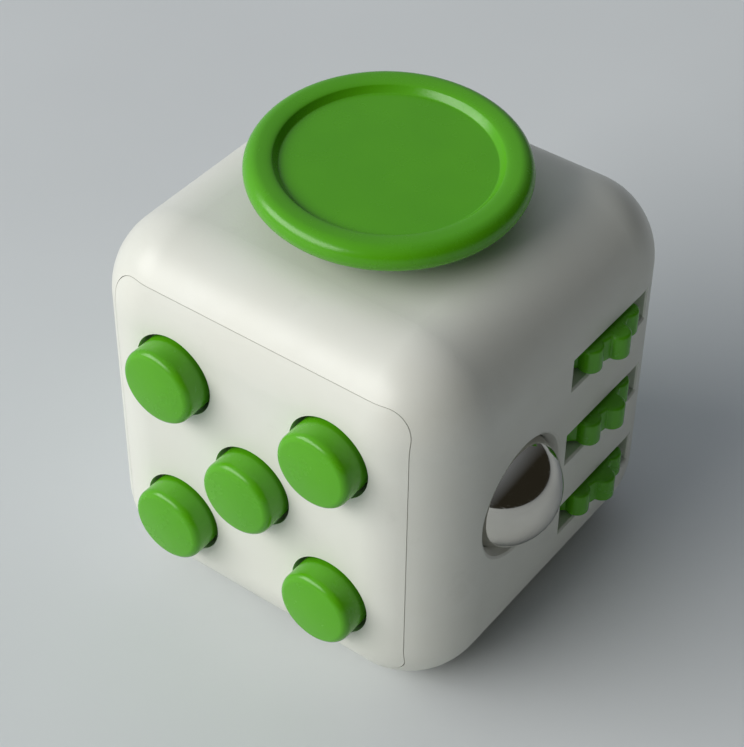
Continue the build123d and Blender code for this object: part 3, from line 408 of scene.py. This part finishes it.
def gear_outline(turn, around=600):
    """Closed outline of a lobed wheel and its outward normals.

    A ray from the axle leaves a lobe at d cos(a) + sqrt(r^2 - d^2 sin^2(a)), with a measured from
    the lobe; the wheel's edge is the root-sum of high powers of that and the disc's radius, which
    is their larger one with a rounded change-over.
    """
    angle = np.linspace(0, 2 * math.pi, around, endpoint=False)
    step = 2 * math.pi / LOBES
    a = (angle - turn + step / 2) % step - step / 2
    inside = LOBE_R**2 - (LOBE_AT * np.sin(a)) ** 2
    lobe = np.where(inside > 0, LOBE_AT * np.cos(a) + np.sqrt(np.maximum(inside, 0)), 0) / DISC_R
    reach = DISC_R * (1 + lobe**ROOT) ** (1 / ROOT)
    outline = reach[:, None] * np.stack([np.cos(angle), np.sin(angle)], 1)
    ahead = np.roll(outline, -1, 0) - np.roll(outline, 1, 0)
    ahead /= np.hypot(ahead[:, 0], ahead[:, 1])[:, None]
    return outline, np.stack([ahead[:, 1], -ahead[:, 0]], 1)


def gear_rings(thick, turn):
    """Bore, top face, rounded rim, side, rounded rim, bottom face and back up the bore."""
    outline, outward = gear_outline(turn)
    half = thick / 2
    inner = outline / np.hypot(outline[:, 0], outline[:, 1])[:, None]
    a = np.linspace(0, math.pi / 2, 7)
    inset = np.concatenate([[GEAR_EDGE + 0.05 * MM], GEAR_EDGE * (1 - np.sin(a)), [0]])
    drop = np.concatenate([[0], GEAR_EDGE * (1 - np.cos(a)), [GEAR_EDGE + 0.05 * MM]])
    flats = [(inner * (BORE_R + 0.1 * MM), half), (inner * (BORE_R + 0.2 * MM), half)]
    rim = [(outline - outward * i, half - d) for i, d in zip(inset, drop)]
    upper = [(inner * BORE_R, half - 0.1 * MM)] + flats + rim
    lower = [(plan, -height) for plan, height in reversed(upper)]
    return np.stack([np.column_stack([plan, np.full(len(plan), height)]) for plan, height in upper + lower])


TURNS = {"gear_bottom": 3.4, "gear_middle": 7.5, "gear_top": 1.2}
axle_low, axle_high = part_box("gear_axle")
axle = (axle_low + axle_high) / 2
for name, turn in TURNS.items():
    low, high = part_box(name)
    rings = gear_rings(high.z - low.z, math.radians(turn)) + (axle.x, axle.y, (low.z + high.z) / 2)
    skin("wheel_" + name[5:], rings, green, "thumb_" + name, [name], hollow=True)
finish(nylon, "gear_bracket", "gear_spacers")
finish(screw_steel, "bracket_screws")
finish(pin_steel, "gear_axle")

# ------------------------------------------------------------------ ball and its spring seat
# A loose bearing ball of polished steel, held by the lip of its mouth and a sprung acetal cup.
# Thumbs have left fine scratches and a thin film that dulls the polish in patches.
BALL_STEEL = (0.6, 0.585, 0.54, 1)
BALL_FILM = (0.5, 0.485, 0.44, 1)
ball_low, ball_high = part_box("steel_ball")
ball_r = (ball_high.x - ball_low.x) / 2
ball_at = (ball_low + ball_high) / 2


def ball_steel():
    """Polished steel with hair scratches, drawn-out noise turned two ways, and finger film."""
    material, tree, shader, place = new_material("ball_steel")
    film = noise(tree, place, 3 * MM, 5, 0.6)
    rough = spread(tree, film, 0.04, 0.1)
    for turn in ((0.3, 0.9, 0.2), (1.2, 0.1, 1.4)):
        settings = (("Vector", place), ("Rotation", turn), ("Scale", (1, 14, 14)))
        drawn = add(tree, "Mapping", settings).outputs[0]
        hairs = spread(tree, noise(tree, drawn, 2.5 * MM, 2), 0.0, 0.12, 0.66, 0.7)
        rough = add(tree, "Math", ((0, rough), (1, hairs)), operation="ADD").outputs[0]
    tree.links.new(rough, shader.inputs["Roughness"])
    tree.links.new(mixed(tree, film, BALL_STEEL, BALL_FILM), shader.inputs["Base Color"])
    tree.links.new(bumps(tree, noise(tree, place, 1.2 * MM, 3), 0.12, 0.02 * MM), shader.inputs["Normal"])
    shader.inputs["Metallic"].default_value = 1.0
    return material


def ball_rings(radius, around=128, down=96):
    """Circles of latitude about Z, radius sin(a) wide at radius cos(a) up; end fans close the poles."""
    a = np.linspace(0, math.pi, down + 1)[1:-1, None]
    angle = np.linspace(0, 2 * math.pi, around, endpoint=False)
    x, y, z = np.sin(a) * np.cos(angle), np.sin(a) * np.sin(angle), np.cos(a) + 0 * angle
    return radius * np.stack([x, y, z], -1)


rings = ball_rings(ball_r) + tuple(ball_at)
skin("bearing_ball", rings, ball_steel(), "ball", ["steel_ball"])
finish(acetal, "ball_cup")
finish(spring_steel, "ball_spring")
finish(nylon, "ball_bridge")
finish(screw_steel, "bridge_screws")

# ------------------------------------------------------------------ flip rocker
# A light-switch paddle of green ABS on a steel cross pin.  A sprung detent pin in its tail wipes
# along a curved steel strip and snaps it over.
finish(green, "flip_rocker")
finish(acetal, "rocker_plunger")
finish(pin_steel, "rocker_pin")
finish(spring_steel, "rocker_cam")
finish(nylon, "rocker_frame")
finish(screw_steel, "rocker_screws")

# ------------------------------------------------------------------ spin dial
# A flat green knob on the back whose hub passes through the wall; a screw, a washer and a wavy
# steel ring hold it and give the drag.
finish(green, "spin_dial")
finish(nylon, "dial_washer")
finish(screw_steel, "dial_screw")
finish(spring_steel, "friction_washer")

# ------------------------------------------------------------------ table top and light
# The cube stands on a plain pale sheet.  One big soft lamp is up on the left, in front of it,
# and the room is dim, dimmest on the right.
TABLE = 3.0
TABLE_GREY = (0.715, 0.745, 0.755, 1)
TABLE_DUSK = tuple(0.94 * c for c in TABLE_GREY[:3]) + (1,)
LAMP_WAY = Vector((-0.48, -0.7, 0.51)).normalized()
LAMP_FAR = 1.6
LAMP_SIZE = (1.9, 0.8)
LAMP_POWER = 27.0
LAMP_TINT = (1.0, 0.985, 0.95)
ROOM_BRIGHT_WAY = (-0.8, -0.1, 0.5)
ROOM_DARK = (0.035, 0.031, 0.022, 1)
ROOM_BRIGHT = (0.55, 0.59, 0.65, 1)

mesh = bpy.data.meshes.new("table_top")
corners = [(-TABLE, -TABLE, 0), (TABLE, -TABLE, 0), (TABLE, TABLE, 0), (-TABLE, TABLE, 0)]
mesh.from_pydata(corners, [], [(0, 1, 2, 3)])
table = bpy.data.objects.new("table_top", mesh)
bpy.context.collection.objects.link(table)
sheet, tree, shader, place = new_material("table_sheet")
cloudy = noise(tree, place, 60 * MM, 4)
shade = mixed(tree, spread(tree, cloudy, 0, 1), TABLE_GREY, TABLE_DUSK)
tree.links.new(shade, shader.inputs["Base Color"])
tree.links.new(bumps(tree, noise(tree, place, 0.6 * MM, 3), 0.15, 0.03 * MM), shader.inputs["Normal"])
shader.inputs["Roughness"].default_value = 0.6
mesh.materials.append(sheet)

lamp = bpy.data.lights.new("soft_lamp", "AREA")
lamp.shape = "RECTANGLE"
lamp.size, lamp.size_y = LAMP_SIZE
lamp.energy = LAMP_POWER
lamp.color = LAMP_TINT
lamp_stand = bpy.data.objects.new("soft_lamp", lamp)
lamp_stand.location = LAMP_WAY * LAMP_FAR
lamp_stand.rotation_euler = LAMP_WAY.to_track_quat("Z", "Y").to_euler()
bpy.context.collection.objects.link(lamp_stand)

room = bpy.data.worlds.new("room")
room.use_nodes = True
tree = room.node_tree
way = add(tree, "TexCoord").outputs["Generated"]
toward = add(tree, "VectorMath", ((0, way), (1, ROOM_BRIGHT_WAY)), operation="DOT_PRODUCT").outputs["Value"]
sky = mixed(tree, spread(tree, toward, 0, 1, -0.25, 0.9), ROOM_DARK, ROOM_BRIGHT)
tree.links.new(sky, tree.nodes["Background"].inputs["Color"])
tree.nodes["Background"].inputs["Strength"].default_value = 0.8
bpy.context.scene.world = room

# ------------------------------------------------------------------ camera
# Looks down on the near right edge of the cube, close enough for its sides to converge.
AZIMUTH = math.radians(36.27)
ELEVATION = math.radians(42.0)
ROLL = math.radians(0.7)
FAR = 164.23 * MM
AIM = Vector((-0.37, -1.13, 16.5)) * MM
LENS = 100.7

back = Vector((
    math.sin(AZIMUTH) * math.cos(ELEVATION),
    -math.cos(AZIMUTH) * math.cos(ELEVATION),
    math.sin(ELEVATION),
))
camera = bpy.data.cameras.new("camera")
camera.lens = LENS
camera.clip_start = 0.01
stand = bpy.data.objects.new("camera", camera)
stand.matrix_world = (
    Matrix.Translation(AIM + back * FAR)
    @ back.to_track_quat("Z", "Y").to_matrix().to_4x4()
    @ Matrix.Rotation(ROLL, 4, "Z")
)
bpy.context.collection.objects.link(stand)
bpy.context.scene.camera = stand
bpy.context.scene.view_settings.view_transform = "Standard"
